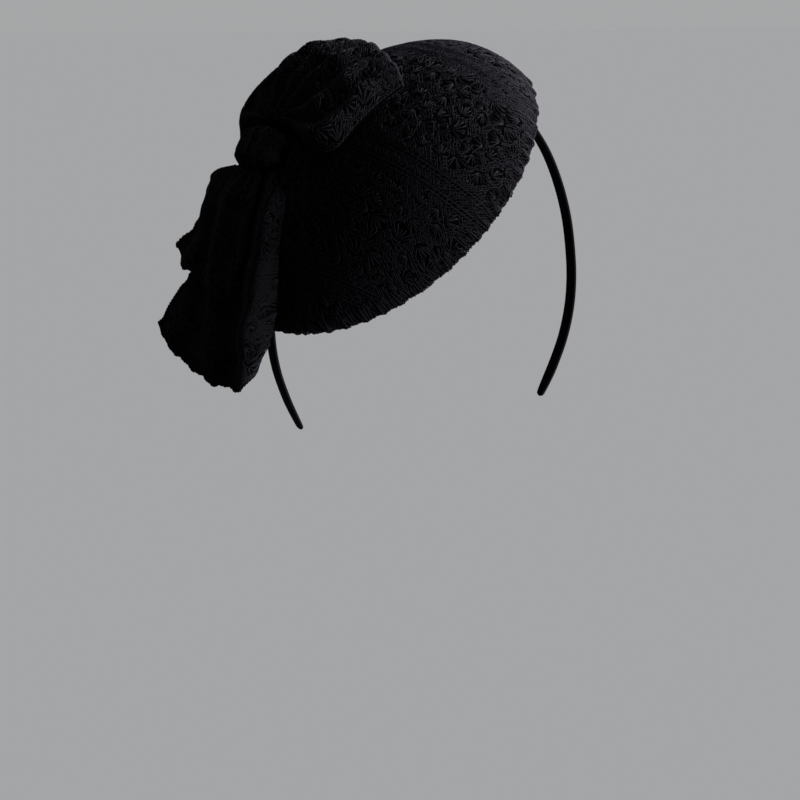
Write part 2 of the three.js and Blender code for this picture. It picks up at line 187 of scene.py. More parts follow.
band_plastic, nodes, links, shader = new_material("band_plastic", BAND_BLACK)
set_inputs(shader, {"Specular IOR Level": 0.002})
handling = on_object(nodes, links, "Noise", {"Scale": 140, "Detail": 4})
gloss = nodes.new("ShaderNodeMapRange")
set_inputs(gloss, {"To Min": 0.38, "To Max": 0.55})
links.new(handling.outputs["Fac"], gloss.inputs["Value"])
links.new(gloss.outputs["Result"], shader.inputs["Roughness"])
skin = on_object(nodes, links, "Noise", {"Scale": 1600})
raise_by(nodes, links, shader, skin.outputs["Fac"], 0.12, 0.00005)

band_strip = make_headband()
dress(band_strip, band_plastic)
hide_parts("headband")

# Cap: a stiffened cloth base pressed to a shallow oval dome, open underneath, with a rolled edge.
# Its rim is drawn down and stitched to the headband at the top of the arch.
CAP_CENTRE = np.array([-28.0, -0.8, -48.3])
CAP_TILT = np.radians(44.9)
CAP_RIM_RADIUS = 78.6
CAP_OVAL = 0.044
CAP_OVAL_TURN = np.radians(6.5)
CAP_HEIGHT = 48.7
CAP_SADDLE = 2.8
CAP_SADDLE_TURN = np.radians(55.8)
CAP_WALL = 2.5
CAP_EDGE_ROUND = 1.2
COVER_INSET = 0.6
TUCK_DEPTH = 5.9
TUCK_CENTRE = np.radians(97)
TUCK_HALF = np.radians(46)
TUCK_REACH = np.radians(30)
PUCKERS = 58
PUCKERS_FINE = 113
PUCKER_SHARES = (0.65, 0.35)
PUCKER_DRIFT = [(2.4, 5, 0), (1.6, 11, np.pi / 2)]
PUCKER_FINE_DRIFT = [(3, 3, 0)]
PUCKER_DEPTH = 0.75
PUCKER_FADE = 5.0
PUCKER_PAST_RIM = 1.0
PASSAGE_TOP = -0.9
PASSAGE_FOOT = -7.0
PASSAGE_HALF = 6.5
BASE_ROUND = 224
BASE_UP = 56
EDGE_STEPS = 8
FINE_STEPS = 600
BASE_BLACK = (0.0001, 0.0001, 0.00012, 1)
BASE_GREY = (0.0003, 0.0003, 0.00036, 1)
CAP_AXES = np.array([
    [0, -1, 0],
    [np.cos(CAP_TILT), 0, np.sin(CAP_TILT)],
    [-np.sin(CAP_TILT), 0, np.cos(CAP_TILT)],
])


def polar(radius, angle):
    """Point of a plane at a distance and an angle from its middle."""
    return np.stack([radius * np.cos(angle), radius * np.sin(angle)], -1)


def rim_radius(angle):
    """Mean radius times one plus the oval share of the cosine of twice the angle from the long axis."""
    return CAP_RIM_RADIUS * (1 + CAP_OVAL * np.cos(2 * (angle - CAP_OVAL_TURN)))


def rim_wave(angle):
    """The rim rises and falls twice round, as a saddle."""
    return CAP_SADDLE * np.cos(2 * (angle - CAP_SADDLE_TURN))


def dome(angle, climb, inset):
    """Point of the dome in the cap's own axes: the rim's radius shrinks with the cosine of the climb while
    the height grows with its sine, and the part near the headband is drawn straight down."""
    reach = (rim_radius(angle) - inset) * np.cos(climb)
    height = (CAP_HEIGHT - inset) * np.sin(climb) + rim_wave(angle) * np.cos(climb) ** 2
    turn = np.abs((angle - TUCK_CENTRE + np.pi) % (2 * np.pi) - np.pi)
    near = np.cos(np.clip(turn / TUCK_HALF, 0, 1) * np.pi / 2) ** 2
    drop = TUCK_DEPTH * near * np.clip(1 - climb / TUCK_REACH, 0, 1) ** 2
    up = reach * np.sin(angle) - drop * np.sin(CAP_TILT)
    return np.stack([reach * np.cos(angle), up, height - drop * np.cos(CAP_TILT)], -1)


def cap_to_world(points):
    """From the cap's own axes, to the front, up its slope and out of the dome, to the frame's."""
    return points @ CAP_AXES + CAP_CENTRE


def from_headband(flat):
    """Distance of a point of the cover from the nearer passage of the headband, in half widths of it."""
    middle = np.where(flat[..., 1] > 0, PASSAGE_TOP, PASSAGE_FOOT)
    return (flat[..., 0] - middle) / PASSAGE_HALF


def waves(rows, *places):
    """Sum of sine waves. A row is a wave's size, its rate along each of the places, and its phase."""
    total = 0
    for size, *rates, phase in rows:
        turn = sum(rate * place for rate, place in zip(rates, places)) + phase
        total = total + size * np.sin(turn)
    return total


def pucker(angle):
    """Small uneven gathers of the cover where it is drawn over the edge: two waves that drift in and out of
    step, and die out where the headband passes."""
    slow = np.sin(PUCKERS * angle + waves(PUCKER_DRIFT, angle))
    fine = np.sin(PUCKERS_FINE * angle + waves(PUCKER_FINE_DRIFT, angle))
    flat_there = np.exp(-from_headband(polar(CAP_RIM_RADIUS, angle)) ** 4)
    return PUCKER_DEPTH * (PUCKER_SHARES[0] * slow + PUCKER_SHARES[1] * fine) * (1 - flat_there)


meridian = np.linspace(np.pi / 2, 0, FINE_STEPS)
meridian_line = np.stack([CAP_RIM_RADIUS * np.cos(meridian), CAP_HEIGHT * np.sin(meridian)])
MERIDIAN_RUN = np.concatenate([[0], np.cumsum(np.hypot(*np.diff(meridian_line)))])
RUN_TO_RIM = MERIDIAN_RUN[-1]
EDGE_RUN = np.pi * CAP_WALL / 2


def cap_skin(forward, up):
    """Point of the cap's covered face for a point of the flat cover. The distance from the cover's middle
    runs down the dome, then half round the edge, then up the inside wall; the direction stays the same."""
    run = np.hypot(forward, up)
    angle = np.arctan2(up, forward)
    point = dome(angle, np.interp(run, MERIDIAN_RUN, meridian), COVER_INSET)
    bend = np.clip((run - RUN_TO_RIM) / EDGE_RUN, 0, 1) * np.pi
    inside = dome(angle, np.maximum(run - RUN_TO_RIM - EDGE_RUN, 0) / CAP_HEIGHT, CAP_WALL)
    outer = dome(angle, 0 * angle, COVER_INSET)
    inner = dome(angle, 0 * angle, CAP_WALL)
    share = ((1 - np.cos(bend)) / 2)[..., None]
    edge = outer + (inner - outer) * share - np.sin(bend)[..., None] * np.array([0, 0, CAP_EDGE_ROUND])
    point = np.where((run > RUN_TO_RIM)[..., None], edge, point)
    point = np.where((run > RUN_TO_RIM + EDGE_RUN)[..., None], inside, point)
    outward = np.stack([np.cos(angle), np.sin(angle), 0 * angle], -1)
    swell = pucker(angle) * np.exp(-((run - RUN_TO_RIM - PUCKER_PAST_RIM) / PUCKER_FADE) ** 2)
    return cap_to_world(point + outward * swell[..., None])


def put_rings(name, rings, ends, turned):
    """Object from closed rings of points, with a fan to a point at each end; turned swaps its faces."""
    rows, columns = rings.shape[:2]
    number = np.arange(rows * columns).reshape(rows, columns)
    fans = np.concatenate([
        np.stack([np.full(columns, number.size), np.roll(number[0], -1), number[0]], 1),
        np.stack([np.full(columns, number.size + 1), number[-1], np.roll(number[-1], -1)], 1),
    ])
    faces = [grid_faces(rows, columns, True), fans]
    if turned:
        faces = [face[:, ::-1] for face in faces]
    return put_mesh(name, np.concatenate([rings.reshape(-1, 3), ends]), faces)


def make_cap_base():
    """Rings of the covered face from the top of the dome to the edge, then of the inside wall back up."""
    down = np.concatenate([
        RUN_TO_RIM * np.linspace(0, 1, BASE_UP + 1)[1:],
        RUN_TO_RIM + EDGE_RUN * np.linspace(0, 1, EDGE_STEPS + 1)[1:],
    ])
    turn = np.linspace(0, 2 * np.pi, BASE_ROUND, endpoint=False)
    outside = cap_skin(down[:, None] * np.cos(turn), down[:, None] * np.sin(turn))
    climb = np.linspace(0, np.pi / 2, BASE_UP + 1)[1:-1, None]
    wall = cap_to_world(dome(turn + 0 * climb, climb + 0 * turn, CAP_WALL))
    tops = np.array([[0, 0, CAP_HEIGHT - COVER_INSET], [0, 0, CAP_HEIGHT - CAP_WALL]])
    return put_rings("cap_base", np.concatenate([outside, wall]), cap_to_world(tops), True)


def new_group(name, inputs, outputs):
    """Shader node group with number sockets, and its nodes, links, input and output."""
    group = bpy.data.node_groups.new(name, "ShaderNodeTree")
    for way, titles in (("INPUT", inputs), ("OUTPUT", outputs)):
        for title in titles:
            group.interface.new_socket(title, in_out=way, socket_type="NodeSocketFloat")
    nodes = group.nodes
    given = nodes.new("NodeGroupInput").outputs
    return group, nodes, group.links, given, nodes.new("NodeGroupOutput").inputs


cloth_weave, nodes, links, given, result = new_group(
    "cloth_weave", ("Cell scale", "Patch scale", "Patch detail"), ("Cells", "Cell edges", "Patches")
)
for title, feature in (("Cells", "F1"), ("Cell edges", "DISTANCE_TO_EDGE")):
    cells = on_object(nodes, links, "Voronoi", {})
    cells.feature = feature
    links.new(given["Cell scale"], cells.inputs["Scale"])
    links.new(cells.outputs["Distance"], result[title])
patches = on_object(nodes, links, "Noise", {})
links.new(given["Patch scale"], patches.inputs["Scale"])
links.new(given["Patch detail"], patches.inputs["Detail"])
links.new(patches.outputs["Fac"], result["Patches"])


def two_tone(name, colours, finish, group, values, outputs, strength, distance):
    """Material with plain shader values and a node group with its own input values. The first of two named
    outputs mixes the dark and the light colour, and the second is the height of a bump."""
    dark, light = colours
    material, nodes, links, shader = new_material(name, dark)
    effect = nodes.new("ShaderNodeGroup")
    effect.node_tree = group
    set_inputs(effect, values)
    shade = nodes.new("ShaderNodeMix")
    shade.data_type = "RGBA"
    set_inputs(shade, {"A": dark, "B": light})
    links.new(effect.outputs[outputs[0]], shade.inputs["Factor"])
    links.new(shade.outputs["Result"], shader.inputs["Base Color"])
    raise_by(nodes, links, shader, effect.outputs[outputs[1]], strength, distance)
    set_inputs(shader, finish)
    return material


base_weave = {"Cell scale": 1500, "Patch scale": 60, "Patch detail": 6}
base_finish = {"Roughness": 0.95, "Specular IOR Level": 0.002}
base_cloth = two_tone("base_cloth", (BASE_BLACK, BASE_GREY), base_finish, cloth_weave, base_weave,
                      ("Patches", "Cells"), 0.6, 0.0003)

cap_base = make_cap_base()
dress(cap_base, base_cloth)
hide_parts("cap")

# Cap lace: black openwork lace of soft crochet cord, stretched over the base and turned under its edge.
# Two crossing sets of slanted cords make a net. Fans of spokes stand over openings in it, between bands of
# paired straight cords, and short gathers and a cord of small loops finish the edge.
CORD_HALF = 0.2
CORD_RISE = 0.4
NET_PITCH = 1.04
NET_STEP = 1.25
NET_SLANT = np.radians(48)
NET_WAVER = 0.26
NET_LIFT = 0.3
FAN_STEP = np.array([8.6, 7.3])
FAN_SHIFT = 0.9
FAN_SPOKES = 7
FAN_SPREAD = 0.9
FAN_FROM = 0.4
FAN_TO = 5.4
FAN_ROOT = 2.7
FAN_OPEN = 3.0
FAN_SIZES = (0.65, 1.15)
FAN_TURN_UNEVEN = 0.1
FAN_LENGTH_UNEVEN = 0.6
SPOKE_POINTS = 4
LINE_EVERY = 60.0
LINE_PLACE = 53.5
LINE_APART = 3.5
LINE_HALF = 0.85
LINE_CLEAR = 1.3
LINE_BANDS = 4
BAND_REACH = 7.0
PATTERN_MARGIN = 3
MOTIF_LIFT = 0.3
COVER_TURN_UNDER = 7.0
COVER_RADIUS = RUN_TO_RIM + EDGE_RUN + COVER_TURN_UNDER
SEAM_LAP = 0.9
BARE_FROM = RUN_TO_RIM - 1.5
EDGE_PITCH = 2.3
EDGE_LOOP = 0.62
EDGE_LOOP_LONG = 1.1
EDGE_PAST_RIM = 1.0
LOOP_POINTS = 8
GATHER_PITCH = 1.9
GATHER_REACH = 5.5
GATHER_PAST_RIM = 2.0
GATHER_POINTS = 6
GATHER_LIFT = 0.4
GATHER_UNEVEN = {"place": 0.3, "start": 1.2, "turn": 0.008}
STRETCH_ACROSS = [(1.1, 0, 1 / 9.1, 0.4), (0.6, 1 / 6.3, 1 / 6.3, 0)]
STRETCH_ALONG = [(0.6, 1 / 8.3, 0, 1.1), (0.4, 1 / 7.1, -1 / 7.1, 2)]
UV_MARGIN = 12
YARN_PLIES = 1.1
YARN_BLACK = (0.0011, 0.0010, 0.0014, 1)
YARN_WORN = (0.0028, 0.0026, 0.0036, 1)
SHEEN_TINT = (0.8, 0.78, 1, 1)
draw = np.random.default_rng(7)


def lay_cords(name, surface, families, width):
    """Cords laid on a surface. A family is strands by points by two, in the cloth's own plane, with a lift
    and a keep for each point. Each point goes to the surface and up by its lift, and carries a section of
    two feet and a top. Only stretches with keep at both ends are made, closed at their two ends."""
    step = 0.05
    size = width + UV_MARGIN
    corner = np.arange(3)
    points, quads, caps, spread, twist = [], [], [], [], []
    total = 0
    for flat, lift, keep in families:
        x, y = flat[..., 0], flat[..., 1]
        go_x = surface(x + step, y) - surface(x - step, y)
        go_y = surface(x, y + step) - surface(x, y - step)
        normal = unit(np.cross(go_x, go_y))
        middle = surface(x, y) + normal * lift[..., None]
        side = unit(np.cross(normal, np.gradient(middle, axis=1))) * CORD_HALF
        section = np.stack([middle - side, middle + normal * CORD_RISE, middle + side], 2)
        plane = unit(np.gradient(flat, axis=1))
        plane = np.stack([-plane[..., 1], plane[..., 0]], -1) * CORD_HALF
        run = np.cumsum(np.linalg.norm(np.diff(middle, axis=1, prepend=middle[:, :1]), axis=2), axis=1)
        number = np.arange(keep.size).reshape(keep.shape) * 3
        made = keep[:, :-1] & keep[:, 1:]
        none = np.zeros((len(made), 1), bool)
        here, there = number[:, :-1][made][:, None], number[:, 1:][made][:, None]
        turned = (corner + 1) % 3
        walls = np.stack([here + corner, here + turned, there + turned, there + corner], -1)
        walls = walls.reshape(-1, 4)
        starts = number[:, :-1][made & ~np.concatenate([none, made[:, :-1]], 1)][:, None] + corner[::-1]
        ends = number[:, 1:][made & ~np.concatenate([made[:, 1:], none], 1)][:, None] + corner
        used = np.zeros(keep.size * 3, bool)
        used[walls.ravel()] = True
        fresh = np.cumsum(used) - 1 + total
        total += used.sum()
        points.append(section.reshape(-1, 3)[used])
        quads.append(fresh[walls])
        caps += [fresh[starts], fresh[ends]]
        spots = np.stack([flat - plane, flat, flat + plane], 2) / size + 0.5
        spread.append(spots.reshape(-1, 2)[used])
        around = np.broadcast_to(corner / 3, run.shape + (3,))
        wound = np.stack([np.broadcast_to(run[..., None], around.shape), around], -1)
        twist.append(wound.reshape(-1, 2)[used])
    spread, twist = np.concatenate(spread), np.concatenate(twist)
    return put_mesh(name, np.concatenate(points), quads + caps, OFBake=spread, yarn=twist)


def from_band(y):
    """Distance of a point of the cloth from the middle of the nearest band of straight lines."""
    return (y - LINE_PLACE + LINE_EVERY / 2) % LINE_EVERY - LINE_EVERY / 2


def from_line(y):
    """Distance of a point of the cloth from the nearer of the two lines of its band."""
    away = from_band(y)
    return away - LINE_APART * np.where(away < 0, -1, 1)


def net(half_wide, half_long, slant):
    """Even lines at a slant across the cloth, each point of them shifted a little by chance."""
    reach = np.hypot(half_wide, half_long)
    along = np.arange(-reach, reach, NET_STEP)[None]
    aside = np.arange(-reach, reach, NET_PITCH)[:, None]
    x = along * np.cos(slant) - aside * np.sin(slant)
    y = along * np.sin(slant) + aside * np.cos(slant)
    flat = np.stack([x, y], -1)
    return flat + draw.normal(0, NET_WAVER, flat.shape)


def fan_places(half_wide, half_long):
    """Half-drop lattice, each place shifted by chance, in the zones between the bands of lines."""
    rows = np.arange(-half_long, half_long, FAN_STEP[1])[:, None]
    columns = np.arange(-half_wide, half_wide, FAN_STEP[0])[None]
    x = columns + FAN_STEP[0] / 2 * (np.arange(len(rows)) % 2)[:, None]
    places = np.stack([x, rows + 0 * x], -1).reshape(-1, 2)
    places = places + draw.normal(0, FAN_SHIFT, places.shape)
    return places[np.abs(from_band(places[:, 1])) > BAND_REACH]


def fans(centres, sizes):
    """Spokes of uneven length from a root out over an opening; each fan is turned by chance."""
    count = (len(centres), FAN_SPOKES, 1)
    turn = draw.uniform(0, 2 * np.pi, (len(centres), 1, 1))
    angle = turn + np.linspace(-FAN_SPREAD, FAN_SPREAD, FAN_SPOKES)[None, :, None]
    angle = angle + draw.normal(0, FAN_TURN_UNEVEN, count)
    length = FAN_TO - FAN_FROM + draw.normal(0, FAN_LENGTH_UNEVEN, count)
    radius = FAN_FROM + length * np.linspace(0, 1, SPOKE_POINTS)
    spokes = polar(radius, angle) - polar(FAN_ROOT, turn)
    spokes = centres[:, None, None] + spokes * sizes[:, None, None, None]
    return spokes.reshape(-1, SPOKE_POINTS, 2)


def straight_cords(half_wide, half_long):
    """Pairs of straight cords, one on each side of every line."""
    bands = np.arange(-LINE_BANDS, LINE_BANDS + 1)[:, None] * LINE_EVERY + LINE_PLACE
    lines = bands + np.array([-LINE_APART, LINE_APART])
    y = (lines[..., None] + np.array([-LINE_HALF, LINE_HALF])).reshape(-1, 1)
    y = y[np.abs(y[:, 0]) < half_long]
    x = np.arange(-half_wide, half_wide + NET_STEP, NET_STEP)[None]
    return np.stack([x + 0 * y, y + 0 * x], -1)


def even(flat, lift):
    """A family of strands all at one lift, kept all along."""
    return flat, np.full(flat.shape[:2], lift), np.ones(flat.shape[:2], bool)


def lace_pattern(half_wide, half_long):
    """The net, in two crossing sets, and the motifs of a stretch of lace about the middle of the cloth:
    strands, their lift, and whether each point is kept. The net leaves an opening at each fan. At each
    straight line one set stops and the other is drawn out to its cords."""
    places = fan_places(half_wide, half_long)
    sizes = draw.uniform(FAN_SIZES[0], FAN_SIZES[1], len(places))
    ground = []
    for slant in (NET_SLANT, -NET_SLANT):
        flat = net(half_wide, half_long, slant)
        away = from_line(flat[..., 1])
        clear = np.abs(flat[..., 0]) < half_wide + PATTERN_MARGIN
        clear &= np.abs(flat[..., 1]) < half_long + PATTERN_MARGIN
        if slant > 0:
            flat[..., 1] += np.sign(away) * np.maximum(LINE_HALF - np.abs(away), 0)
        else:
            clear &= np.abs(away) > LINE_CLEAR
        for centre, size in zip(places, sizes):
            clear &= np.hypot(flat[..., 0] - centre[0], flat[..., 1] - centre[1]) > FAN_OPEN * size
        ground.append((flat, draw.uniform(0, NET_LIFT, clear.shape), clear))
    motifs = [fans(places, sizes), straight_cords(half_wide, half_long)]
    return ground, [even(strands, MOTIF_LIFT) for strands in motifs if len(strands)]


def edge_cord(run):
    """Cord round the cover at a distance from its middle, circling once in every pitch as it goes."""
    turns = int(2 * np.pi * run / EDGE_PITCH)
    theta = np.linspace(0, 2 * np.pi * turns, turns * LOOP_POINTS + 1)
    angle = (theta / turns) - EDGE_LOOP / run * EDGE_LOOP_LONG * np.sin(theta)
    return polar(run + EDGE_LOOP * np.cos(theta), angle)[None]


def rim_gathers():
    """Short cords across the edge of the cap, where the cover is drawn over it, at uneven distances."""
    count = int(2 * np.pi * RUN_TO_RIM / GATHER_PITCH)
    place = np.arange(count) + draw.normal(0, GATHER_UNEVEN["place"], count)
    angle = place[:, None] * 2 * np.pi / count
    start = RUN_TO_RIM - GATHER_REACH + draw.normal(0, GATHER_UNEVEN["start"], (count, 1))
    radius = start + (RUN_TO_RIM + GATHER_PAST_RIM - start) * np.linspace(0, 1, GATHER_POINTS)
    angle = angle + draw.normal(0, GATHER_UNEVEN["turn"], (count, 1)) * np.linspace(-1, 1, GATHER_POINTS)
    return polar(radius, angle)


def stretched(flat):
    """Uneven stretch of the cloth: slow sine waves in both directions shift its points by up to 2 mm."""
    x, y = flat[..., 0], flat[..., 1]
    return flat + np.stack([waves(STRETCH_ACROSS, x, y), waves(STRETCH_ALONG, x, y)], -1)


yarn_twist, nodes, links, given, result = new_group("yarn_twist", ("Plies per mm",), ("Ply height", "Wear"))
along = nodes.new("ShaderNodeUVMap")
along.uv_map = "yarn"
split = nodes.new("ShaderNodeSeparateXYZ")
links.new(along.outputs["UV"], split.inputs["Vector"])
slant = nodes.new("ShaderNodeMath")
slant.operation = "MULTIPLY_ADD"
links.new(split.outputs["X"], slant.inputs[0])
links.new(given["Plies per mm"], slant.inputs[1])
links.new(split.outputs["Y"], slant.inputs[2])
wave = nodes.new("ShaderNodeMath")
wave.operation = "PINGPONG"
wave.inputs[1].default_value = 0.5
links.new(slant.outputs["Value"], wave.inputs[0])
links.new(wave.outputs["Value"], result["Ply height"])
wear = on_object(nodes, links, "Noise", {"Scale": 220, "Detail": 3})
links.new(wear.outputs["Fac"], result["Wear"])


def yarn_material(name, colours):
    """Soft plied cord: the twist as bump, lighter and darker stretches, and a low sheen of loose fibres."""
    finish = {"Roughness": 0.7, "Specular IOR Level": 0.012}
    finish |= {"Sheen Weight": 0.002, "Sheen Roughness": 0.5, "Sheen Tint": SHEEN_TINT}
    plies = {"Plies per mm": YARN_PLIES}
    return two_tone(name, colours, finish, yarn_twist, plies, ("Wear", "Ply height"), 0.5, 0.00015)


def cut_round(families, side):
    """A pattern cut to the round cover, with the cloth's uneven stretch: the points on one side of it and a
    lap past its middle, or all for a side of 0, without those at the edge where the headband passes."""
    kept = []
    for flat, lift, keep in families:
        flat = stretched(flat)
        run = np.hypot(flat[..., 0], flat[..., 1])
        keep = keep & (run < COVER_RADIUS) & (flat[..., 0] * side >= -SEAM_LAP)
        keep = keep & ((run < BARE_FROM) | (np.abs(from_headband(flat)) > 1))
        kept.append((flat, lift, keep))
    return kept


cap_yarn = yarn_material("cap_yarn", (YARN_BLACK, YARN_WORN))
ground, motifs = lace_pattern(COVER_RADIUS, COVER_RADIUS)
edging = [even(edge_cord(RUN_TO_RIM + EDGE_PAST_RIM), MOTIF_LIFT), even(rim_gathers(), GATHER_LIFT)]
edging = [(flat, lift, keep & (np.abs(from_headband(flat)) > 1)) for flat, lift, keep in edging]
cap_lace = [
    lay_cords("cap_lace_front", cap_skin, cut_round(ground, 1), 2 * COVER_RADIUS),
    lay_cords("cap_lace_rear", cap_skin, cut_round(ground, -1), 2 * COVER_RADIUS),
    lay_cords("cap_lace_motifs", cap_skin, cut_round(motifs, 0) + edging, 2 * COVER_RADIUS),
]
for piece in cap_lace:
    dress(piece, cap_yarn)

# Long tail of the bow: a strip of the same lace, gathered under the knot and hung down the cap's side.
# It spreads below the knot, its front edge rolls inwards, and its hem is cut on a slant past the cap's rim.
# Rows of a table: share of the length, x, y, z of the front edge, x, y, z of the rear edge, ripple depth.
LONG_TAIL = {
    "roll": 7.0, "ridge": 4.0, "corner": 10.0, "rear_corner": 3.5, "sag": 6.5, "stand_off": 1.7,
    "table": [
        (0.0, -81.5, -7, -36, -81, 18, -36, 0.9),
        (0.14, -86, -22.5, -46, -82, 34, -47, 1.0),
        (0.36, -91.5, -28, -64, -87, 43, -64, 1.5),
        (0.58, -95, -28, -82, -93, 43, -79, 1.9),
        (0.80, -97, -24, -102, -101.5, 51, -94, 1.9),
        (1.0, -98.5, -18, -123, -108, 51, -107.4, 1.6),
    ],
    "cut": (86, 92), "lined_from": 0.6,
}
TAIL_ROWS = 100
TAIL_COLUMNS = 90
TAIL_FOLD_PITCH = 26
TAIL_FOLD_START = -15
TAIL_EDGE_ROLL = 0.13
TAIL_TUCK = 1.25
TAIL_RIDGE_AT = 0.14
TAIL_RIDGE_HALF = 0.1
TAIL_RIDGE_WANDER = [(0.025, 6, 1), (0.012, 17, 0)]
TAIL_RIDGE_SWELL = [(0.2, 11, 0)]
TAIL_RIDGE_LOSS = 0.8
TAIL_CORNER = 0.22
TAIL_REAR_CORNER = 0.1
TAIL_WAVER = 0.7
TAIL_HEM_WAVES = [(1, 0.42, 0.7), (0.5, 1.1, 2), (0.15, 2.5, 0)]
TAIL_REAR_RATE = 0.6
TAIL_REAR_DRIFT = [(2, 0.3, 0)]
TAIL_CRUMPLES = [(1, 0.21, 0.17, 0), (1, -0.08, 0.12, 1.3)]
TAIL_BOW = 4.0
TAIL_BOW_LOSS = 0.7
TAIL_BOW_WITHIN = 1 / 2
TAIL_ROLL_WITHIN = 1 / 3
TAIL_RIDGE_WITHIN = 1 / 4
TAIL_GATHERS = 7
TAIL_GATHER_DRIFT = [(1.5, 7, 0)]
TAIL_GATHER_DEPTH = 0.9
TAIL_GATHER_FADE = 0.2
SIDE_SAMPLE = 1.0
SIDE_HALVINGS = 12
PICOT_PITCH = 2.1
PICOT_LONG = 0.5
PICOT_WIDE = 0.45
PICOT_INSET = 0.3
SHEET_LIFT_SHARE = 0.6
TAIL_CLOSER = 1.1
SHEET_HALF = 0.4
NET_BLACK = (0.0001, 0.0001, 0.00012, 1)
NET_GREY = (0.0004, 0.0004, 0.0005, 1)
BOW_BLACK = (0.0014, 0.0013, 0.0018, 1)
BOW_WORN = (0.0033, 0.0031, 0.0042, 1)


def smooth(value):
    """From 0 to 1 with level ends."""
    share = np.clip(value, 0, 1)
    return share * share * (3 - 2 * share)


def dome_height(forward, up):
    """Height of the covered dome over the plane of its rim, in the cap's own axes."""
    angle = np.arctan2(up, forward)
    share = np.minimum(np.hypot(forward, up) / rim_radius(angle), 1)
    return CAP_HEIGHT * np.sqrt(1 - share**2) + rim_wave(angle) * share**2


def dome_side(y, z):
    """X of the dome's right side at a depth and a height: the first sample from the right inside the dome,
    then halved down to the face. Endlessly far to the left where no sample is inside."""
    def inside(x):
        forward, up, out = np.moveaxis((np.stack([x, y, z], -1) - CAP_CENTRE) @ CAP_AXES.T, -1, 0)
        share = np.hypot(forward, up) / rim_radius(np.arctan2(up, forward))
        return (share < 1) & (out <= dome_height(forward, up))

    starts = np.arange(CAP_CENTRE[0] - CAP_RIM_RADIUS, CAP_CENTRE[0], SIDE_SAMPLE)
    found = np.full(y.shape, np.inf)
    for x in starts[::-1]:
        found = np.where(inside(x + 0 * y), x, found)
    hit = np.isfinite(found)
    inner = np.where(hit, found, 0)
    outer = inner - SIDE_SAMPLE
    for halving in range(SIDE_HALVINGS):
        middle = (inner + outer) / 2
        within = inside(middle)
        inner = np.where(within, middle, inner)
        outer = np.where(within, outer, middle)
    return np.where(hit, outer, np.inf)


def evenly(points, values, count):
    """Values at even distances along a line of points that belong to them."""
    run = np.concatenate([[0], np.cumsum(np.linalg.norm(np.diff(points, axis=0), axis=1))])
    return np.interp(np.linspace(0, run[-1], count), run, values)


def crossed(rows, *places):
    """Product of two sine waves, which makes bumps and dimples by turns; the rows are as for waves."""
    return waves(rows[:1], *places) * waves(rows[1:], *places)


def round_off(share, width):
    """A quarter round from 1 at the edge of the cloth to 0 at a share of its width."""
    return 1 - np.sqrt(1 - np.maximum(1 - share / width, 0) ** 2)


def tail_point(tail, u, v):
    """Straight sections between the front and rear edges of the table's rows. They bow outwards, ripple from
    front to rear, crumple, roll in past a round ridge at the front edge, gather into small pleats at the
    knot, and stay clear of the dome. The hem sags in the middle, its corners are rounded off, and the hem
    and the rear edge waver."""
    table = np.array(tail["table"], float)
    row = through(table[:, 0], table[:, 1:], u)
    x, y, z = np.moveaxis(row[..., :3] * (1 - v)[..., None] + row[..., 3:6] * v[..., None], -1, 0)
    ripple = row[..., 6] * np.cos(2 * np.pi * (y - TAIL_FOLD_START) / TAIL_FOLD_PITCH)
    roll = np.maximum(1 - v / TAIL_EDGE_ROLL, 0) ** 2 * tail["roll"] * smooth(u / TAIL_ROLL_WITHIN)
    y = y + TAIL_TUCK * roll
    loose = smooth(u / TAIL_BOW_WITHIN)
    bow = TAIL_BOW * loose * (1 - TAIL_BOW_LOSS * u**2) * np.sin(np.pi * v)
    gather = np.cos(2 * np.pi * TAIL_GATHERS * v + waves(TAIL_GATHER_DRIFT, v))
    gather = gather * np.exp(-u / TAIL_GATHER_FADE)
    crest = TAIL_RIDGE_AT + waves(TAIL_RIDGE_WANDER, u)
    fold = tail["ridge"] * np.exp(-(((v - crest) / TAIL_RIDGE_HALF) ** 2)) * smooth(u / TAIL_RIDGE_WITHIN)
    fold = fold * (1 - TAIL_RIDGE_LOSS * u**3) * (1 + waves(TAIL_RIDGE_SWELL, u))
    crumple = loose * crossed(TAIL_CRUMPLES, y, z)
    x = x + roll - fold - bow - ripple * (1 - v**4) - TAIL_GATHER_DEPTH * gather - crumple
    hem = tail["rear_corner"] * round_off(1 - v, TAIL_REAR_CORNER) + TAIL_WAVER * waves(TAIL_HEM_WAVES, y)
    sag = tail["sag"] * u**2 * 4 * v * (1 - v)
    z = z - sag + tail["corner"] * u**5 * round_off(v, TAIL_CORNER) + hem * u**8
    y = y + TAIL_WAVER * np.sin(TAIL_REAR_RATE * z + waves(TAIL_REAR_DRIFT, z)) * v**12
    x = np.minimum(x, dome_side(y, z) - tail["stand_off"])
    return np.stack([x, y, z], -1)


def even_grid(point, at_u, at_v, low, rows, columns):
    """Points of a surface of u and v, v from low to 1: rows even in length at one v, columns at one u."""
    u = np.linspace(0, 1, FINE_STEPS)
    v = low + (1 - low) * u
    down = evenly(point(u, 0 * u + at_v), u, rows)[:, None]
    across = evenly(point(0 * u + at_u, v), v, columns)[None]
    return point(down + 0 * across, across + 0 * down)


